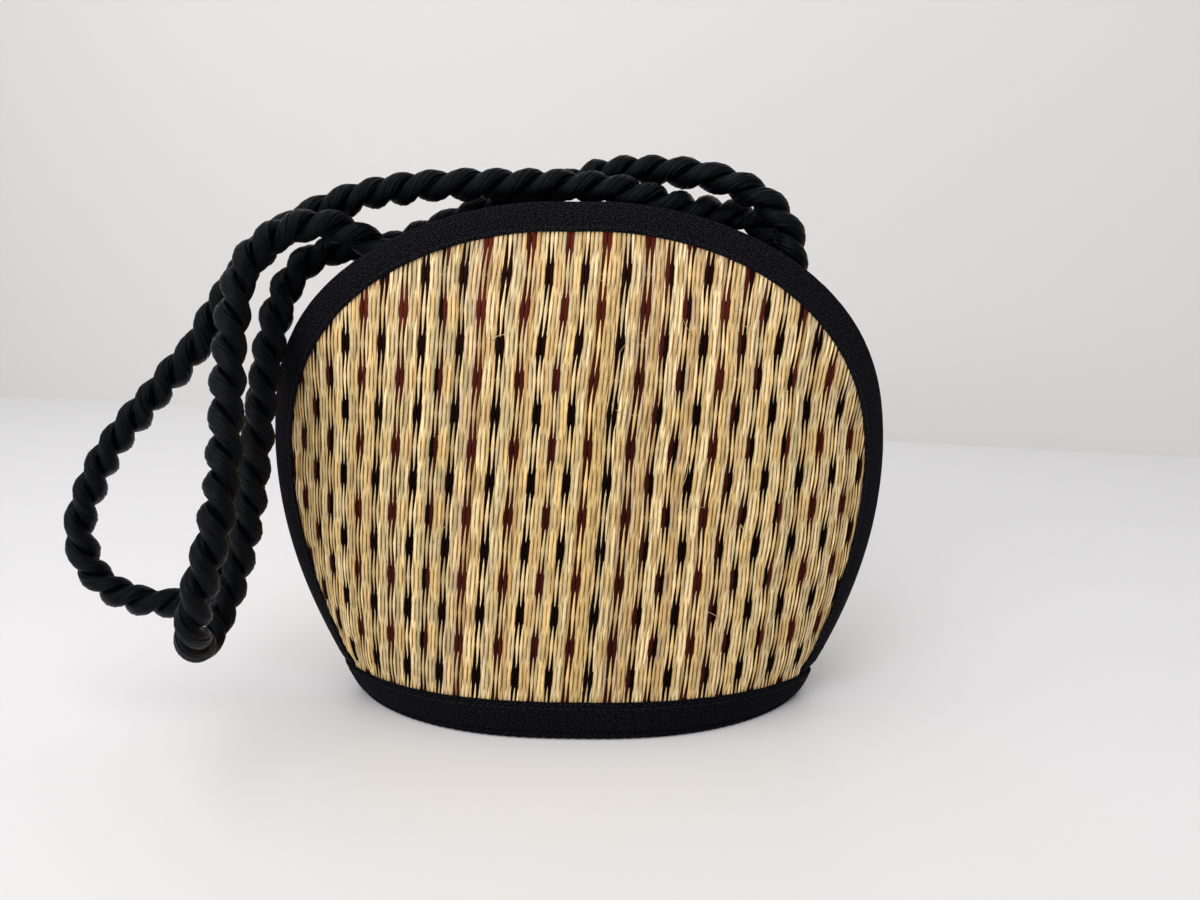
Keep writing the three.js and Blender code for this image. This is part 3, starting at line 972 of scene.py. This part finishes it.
# The binding's section at every step: outer leg from its hem, round the nose, inner leg to its hem
def binding_rows(seed):
    from_foot = np.minimum(EDGE_LENGTHS, EDGE_LENGTHS[-1] - EDGE_LENGTHS)
    tuck = between(BINDING_TUCK_LIFT, 1, eased(from_foot, BINDING_TUCK_FROM, 2 * BINDING_TUCK))
    between_stitches = np.cos(2 * math.pi * EDGE_LENGTHS / STITCH_PITCH)
    legs = {1: [], -1: []}
    for number, (distance, lift) in enumerate(BINDING_LEG):
        wall, normal = inside_edge(distance)
        for side in (1, -1):
            pucker = waver(EDGE_LENGTHS, BINDING_PUCKER, seed + 3 * number + side)
            pull = -BINDING_PULL * between_stitches if lift == STITCH_GROOVE else 0
            height = (lift + pucker + pull) * tuck
            legs[side].append(wall + side * normal * height[:, None])
    wall, normal = EDGE_WALL[:, 0], EDGE_NORMALS[:, 0]
    nose_lift = BINDING_LEG[-1][1] - NOSE_DROP
    roll = waver(EDGE_LENGTHS, NOSE_ROLL, seed + 97)
    nose = []
    for angle in np.linspace(math.pi / 2, -math.pi / 2, NOSE_STEPS + 1):
        out = (NOSE_OVERHANG + roll) * math.cos(angle)
        up = nose_lift * math.sin(angle) * tuck
        nose.append(wall + normal * up[:, None] + EDGE_OUTWARD * (out * tuck)[:, None])
    return np.stack(legs[1] + nose + legs[-1][::-1])


def binding_mesh(name, seed, front):
    rows = binding_rows(seed)
    rows[..., 1] *= front
    u_steps = len(rows) - 1

    def place(u, v):
        row = np.rint(u * u_steps).astype(int)
        step = np.rint(v * BINDING_STEPS).astype(int)
        return rows[row, step]

    marks = run_along(rows[:, BINDING_STEPS // 2])
    return laid_mesh(name, [((u_steps, BINDING_STEPS), (marks, EDGE_LENGTHS[-1]), place)])


# How high the band's hem stands for an angle round the foot
def band_rise(angle):
    end = between(BAND_RISE_END, BAND_RISE_RIGHT, np.clip(np.cos(angle), 0, 1) ** 2)
    return between(end, BAND_RISE_FRONT, np.abs(np.sin(angle)) ** BAND_SWEEP)


# How much further the band stands off the wall round the ends of the foot
def band_over(angle):
    return BAND_END_LIFT * eased(np.abs(np.cos(angle)), *BAND_END_FROM)


# The band's section for every angle round the foot, from the tucked lower edge to the hem
def band_rows(seed):
    angle = np.linspace(0, 2 * math.pi, BAND_STEPS + 1)
    rise = band_rise(angle)
    run = angle * (BASE_LENGTH + BASE_DEPTH) / 4
    rows = []
    table = [(BAND_FOOT + height, None, lift) for height, lift in BAND_LOWER]
    table += [(None, depth, lift) for depth, lift in BAND_UPPER]
    for number, (height, depth, lift) in enumerate(table):
        z = np.full_like(angle, height) if depth is None else rise - depth
        wave = waver(run, BAND_PUCKER, seed + number)
        wave = between(wave, wave[0], eased(angle, 2 * math.pi - BAND_JOIN, 2 * math.pi))
        stand = lift + band_over(angle) + wave
        rows.append(oval_point(angle, z) + oval_normal(angle, z) * stand[:, None])
    return np.stack(rows)


def band_mesh(name, seed):
    rows = band_rows(seed)
    rows[:, -1] = rows[:, 0]
    u_steps = len(rows) - 1

    def place(u, v):
        return rows[np.rint(u * u_steps).astype(int), np.rint(v * BAND_STEPS).astype(int)]

    marks = run_along(rows[:, BAND_STEPS // 4])
    return laid_mesh(name, [((u_steps, BAND_STEPS), (marks, ROUND_FOOT), place)])


# Puckered cloth over the cord that runs round the edge of the base
def welt_mesh(name):
    def place(u, v):
        turn = 2 * math.pi * ((u + 0.5) % 1)
        angle = 2 * math.pi * (v % 1)
        pucker = 0.5 + 0.5 * np.sin(WELT_PUCKERS * angle + WELT_PUCKER_SLANT * turn)
        radius = WELT / 2 * (1 - WELT_PUCKER_DEPTH * pucker)
        reach = radius * np.cos(turn) - WELT / 2
        height = WELT / 2 + radius * np.sin(turn)
        return on_oval(BASE_LENGTH / 2 + reach, BASE_DEPTH / 2 + reach, angle, height)

    marks = np.linspace(0, math.pi * WELT, WELT_STEPS[0] + 1)
    return laid_mesh(name, [(WELT_STEPS, (marks, ROUND_FOOT), place)])


# The oval bottom, with a rounded edge
def base_mesh(name):
    bm = bmesh.new()
    bmesh.ops.create_circle(bm, cap_ends=True, segments=BASE_SIDES, radius=1)
    for vert in bm.verts:
        angle = math.atan2(vert.co.y, vert.co.x)
        vert.co = on_oval(BASE_LENGTH / 2 - BASE_INSET, BASE_DEPTH / 2 - BASE_INSET, angle, 0.0) * MM
    grown = bmesh.ops.extrude_face_region(bm, geom=bm.faces[:])
    raised = [item for item in grown["geom"] if isinstance(item, bmesh.types.BMVert)]
    bmesh.ops.translate(bm, vec=(0, 0, BASE_THICKNESS * MM), verts=raised)
    rims = [edge for edge in bm.edges if abs(edge.verts[0].co.z - edge.verts[1].co.z) < WELD * MM]
    bmesh.ops.bevel(bm, geom=rims, offset=BASE_ROUNDING * MM, affect="EDGES", segments=2,
                    profile=0.5, material=-1)
    bmesh.ops.recalc_face_normals(bm, faces=bm.faces[:])
    mesh = bpy.data.meshes.new(name)
    bm.to_mesh(mesh)
    bm.free()
    return mesh


# Rows of small rounded stitches in one mesh, each along a direction and lying on the cloth
def stitch_mesh(name, spots, alongs, ups):
    bm = bmesh.new()
    bmesh.ops.create_uvsphere(bm, u_segments=STITCH_SEGMENTS, v_segments=STITCH_RINGS, radius=0.5)
    bm.verts.index_update()
    shape = np.array([vert.co[:] for vert in bm.verts])[:, [2, 0, 1]] * STITCH_SIZE
    corners = [[vert.index for vert in face.verts] for face in bm.faces]
    bm.free()
    sides = unit(np.cross(ups, alongs))
    frames = np.stack([alongs, sides, np.cross(alongs, sides)], 1)
    points = spots[:, None] + np.einsum("pk,nkd->npd", shape, frames)
    faces = [[corner + number * len(shape) for corner in face]
             for number in range(len(spots)) for face in corners]
    mesh = bpy.data.meshes.new(name)
    mesh.from_pydata(points.reshape(-1, 3) * MM, [], faces)
    mesh.shade_smooth()
    return mesh


# Stitches through a binding: the same seam shows on its outer and inner face
def binding_stitches(name, front):
    wall, normal = inside_edge(STITCH_FROM_EDGE)
    along = unit(np.gradient(wall, axis=0))
    middles = np.arange(STITCH_PITCH, EDGE_LENGTHS[-1] - STITCH_PITCH, STITCH_PITCH)

    def at(values):
        return at_run(middles, EDGE_LENGTHS, values)

    lift = STITCH_GROOVE + BINDING_CLOTH / 2
    spots = np.concatenate([at(wall + side * lift * normal) for side in (1, -1)])
    alongs = unit(np.concatenate([at(along)] * 2))
    ups = unit(np.concatenate([at(normal), -at(normal)]))
    mirror = np.array([1, front, 1])
    return stitch_mesh(name, spots * mirror, alongs * mirror, ups * mirror)


def band_stitches(name):
    angle = np.linspace(0, 2 * math.pi, EDGE_SAMPLES)
    z = band_rise(angle) - BAND_STITCH_DEPTH
    normal = oval_normal(angle, z)
    stand = BAND_STITCH_LIFT + BAND_CLOTH / 2 + band_over(angle)
    line = oval_point(angle, z) + normal * stand[:, None]
    length = run_along(line)
    count = round(length[-1] / STITCH_PITCH)
    middles = (np.arange(count) + 0.5) * length[-1] / count

    def at(values):
        return at_run(middles, length, values)

    return stitch_mesh(name, at(line), unit(at(np.gradient(line, axis=0))), unit(at(normal)))


# A smooth curve through a route's points, in even steps
def smooth_route(route):
    given = np.array(route, float)
    ends = (2 * given[:1] - given[1:2], 2 * given[-1:] - given[-2:-1])
    knots = np.concatenate([ends[0], given, ends[1]])
    share = np.linspace(0, 1, SPAN_STEPS, endpoint=False)[:, None]
    spans = []
    for p0, p1, p2, p3 in zip(knots, knots[1:], knots[2:], knots[3:]):
        t0, t1, t2 = (np.linalg.norm(b - a) ** 0.5 for a, b in ((p0, p1), (p1, p2), (p2, p3)))
        leave = t1 * ((p1 - p0) / t0 - (p2 - p0) / (t0 + t1) + (p2 - p1) / t1)
        arrive = t1 * ((p2 - p1) / t1 - (p3 - p1) / (t1 + t2) + (p3 - p2) / t2)
        bend = -3 * p1 + 3 * p2 - 2 * leave - arrive
        twist = 2 * p1 - 2 * p2 + leave + arrive
        spans.append(p1 + share * leave + share**2 * bend + share**3 * twist)
    fine = np.concatenate([*spans, given[-1:]])
    length = run_along(fine)
    even = np.linspace(0, length[-1], round(length[-1] / ROPE_STEP) + 1)
    return at_run(even, length, fine), even


# Directions across a curve that turn as little as possible along it
def carried_frames(curve):
    along = unit(np.gradient(curve, axis=0))
    first = np.cross(along[0], (0, 1, 0))
    across = [first / np.linalg.norm(first)]
    for direction in along[1:]:
        carried = across[-1] - direction * np.dot(across[-1], direction)
        across.append(carried / np.linalg.norm(carried))
    across = np.array(across)
    return along, across, np.cross(along, across)


# Two soft strands laid round each other, drawn in at both ends
def rope_mesh(name, route, seed):
    curve, run = smooth_route(route)
    _, across, other = carried_frames(curve)
    steps = len(curve) - 1
    from_end = np.minimum(run, run[-1] - run)
    tight = between(ROPE_END_WIDTH, 1, eased(from_end, 0, ROPE_END))
    closed = np.sqrt(np.clip(from_end / ROPE_TIP, 0, 1))
    grids = []
    for strand in (0, 1):
        lay = -2 * math.pi * run / ROPE_LAY + math.pi * strand + waver(run, ROPE_LAY_WAVER, seed)
        radial = across * np.cos(lay)[:, None] + other * np.sin(lay)[:, None]
        sideways = other * np.cos(lay)[:, None] - across * np.sin(lay)[:, None]
        plump = 1 + waver(run, STRAND_PLUMPNESS, seed + 5 + strand)
        size = ROPE_WIDTH * tight * plump

        def place(u, v, strand=strand, radial=radial, sideways=sideways, size=size):
            step = np.rint(v * steps).astype(int)
            turn = 2 * math.pi * ((u + 0.5) % 1)
            crease = sum(np.sin(count * turn + drift * run[step] + apart * strand)
                         for count, drift, apart in STRAND_CREASES)
            swell = (1 + STRAND_CREASE_DEPTH * crease) * size[step] * closed[step]
            out = STRAND_OFFSET * size[step] + STRAND_RADIAL * swell * np.cos(turn)
            side = STRAND_TANGENTIAL * swell * np.sin(turn) * (1 - STRAND_EGG * np.cos(turn))
            return curve[step] + radial[step] * out[:, None] + sideways[step] * side[:, None]

        round_strand = math.pi * (STRAND_RADIAL + STRAND_TANGENTIAL) * ROPE_WIDTH
        marks = np.linspace(0, round_strand, STRAND_SIDES + 1)
        grids.append(((STRAND_SIDES, steps), (marks, run[-1]), place))
    return laid_mesh(name, grids), curve * MM, run[-1] * MM


def add_rope(name, route, seed, material):
    mesh, path, length = rope_mesh(name + "_rope", route, seed)
    rope = make_piece(name + "_rope", mesh, material, [name])


def place_camera():
    lens = bpy.data.cameras.new("photo camera")
    lens.lens = CAMERA_LENS
    lens.sensor_width = CAMERA_SENSOR
    lens.clip_start = CAMERA_NEAR * MM
    camera = bpy.data.objects.new("photo camera", lens)
    camera.location = [place * MM for place in CAMERA_PLACE]
    camera.rotation_euler = (math.radians(CAMERA_TILT), 0, math.radians(CAMERA_TURN))
    bpy.context.scene.collection.objects.link(camera)
    bpy.context.scene.camera = camera


# A softbox at a place, facing a spot, with its width and depth in millimetres
def add_softbox(name, place, facing, size, power, tint):
    light = bpy.data.lights.new(name, "AREA")
    light.shape = "RECTANGLE"
    light.size = size[0] * MM
    light.size_y = size[1] * MM
    light.energy = power
    light.color = tint
    lamp = bpy.data.objects.new(name, light)
    towards = np.array(facing, float) - np.array(place, float)
    lamp.location = [axis * MM for axis in place]
    lamp.rotation_mode = "QUATERNION"
    lamp.rotation_quaternion = Vector(towards).to_track_quat("-Z", "Y")
    bpy.context.scene.collection.objects.link(lamp)


def pale_material(name, colour, roughness):
    material, tree, shader = new_material(name)
    set_shader(shader, Base_Color=(*colour, 1), Roughness=roughness, Specular_IOR_Level=0.3)
    return material


# One flat sheet of the stage through its corners
def add_backdrop(name, corners, material):
    bm = bmesh.new()
    bm.faces.new([bm.verts.new([axis * MM for axis in corner]) for corner in corners])
    mesh = bpy.data.meshes.new(name)
    bm.to_mesh(mesh)
    bm.free()
    mesh.materials.append(material)
    backdrop = bpy.data.objects.new(name, mesh)
    bpy.context.scene.collection.objects.link(backdrop)


def set_stage():
    far = FLOOR_REACH
    add_backdrop("floor", ((-far, -far, 0), (far, -far, 0), (far, far, 0), (-far, far, 0)),
                 pale_material("pale table", *TABLE_FINISH))
    slope = (WALL_RIGHT[1] - WALL_LEFT[1]) / (WALL_RIGHT[0] - WALL_LEFT[0])
    left = WALL_LEFT[1] + slope * (-far - WALL_LEFT[0])
    right = WALL_LEFT[1] + slope * (far - WALL_LEFT[0])
    top = WALL_HEIGHT
    add_backdrop("wall", ((-far, left, 0), (far, right, 0), (far, right, top), (-far, left, top)),
                 pale_material("pale wall", *WALL_FINISH))
    world = bpy.data.worlds.new("soft room")
    world.use_nodes = True
    set_shader(world.node_tree.nodes["Background"], Color=ROOM_TINT, Strength=ROOM_STRENGTH)
    bpy.context.scene.world = world
    for softbox in SOFTBOXES:
        add_softbox(*softbox)
    bpy.context.scene.view_settings.view_transform = "Standard"


def build_purse():
    reed = reed_material()
    trim, foot_trim_in_painted_shade, bottom = (cloth_material(name, *row) for name, row in CLOTHS.items())
    thread = thread_material()
    satin = satin_material()
    add_rope("front_handle", FRONT_HANDLE_ROUTE, FRONT_ROPE_SEED, satin)
    add_rope("back_handle", BACK_HANDLE_ROUTE, BACK_ROPE_SEED, satin)
    for side, front, seed in (("front", 1, FRONT_SEED), ("back", -1, BACK_SEED)):
        weave = woven_mesh(side + "_reeds", seed, front)
        make_piece(side + "_reeds", weave, reed, [side + "_panel"])
        cloth = binding_mesh(side + "_edge_cloth", seed, front)
        edge = make_piece(side + "_edge_cloth", cloth, trim, [side + "_binding"])
        thicken(edge, BINDING_CLOTH)
        seam = binding_stitches(side + "_edge_stitches", front)
        make_piece(side + "_edge_stitches", seam, thread)
    band = band_mesh("foot_band", BAND_SEED)
    foot = make_piece("foot_band", band, foot_trim_in_painted_shade, ["base_band"])
    thicken(foot, BAND_CLOTH)
    make_piece("foot_stitches", band_stitches("foot_stitches"), thread)
    make_piece("foot_welt", welt_mesh("foot_welt"), foot_trim_in_painted_shade, ["base_welt"])
    make_piece("bottom", base_mesh("bottom"), bottom, ["base"])


place_camera()
set_stage()
build_purse()
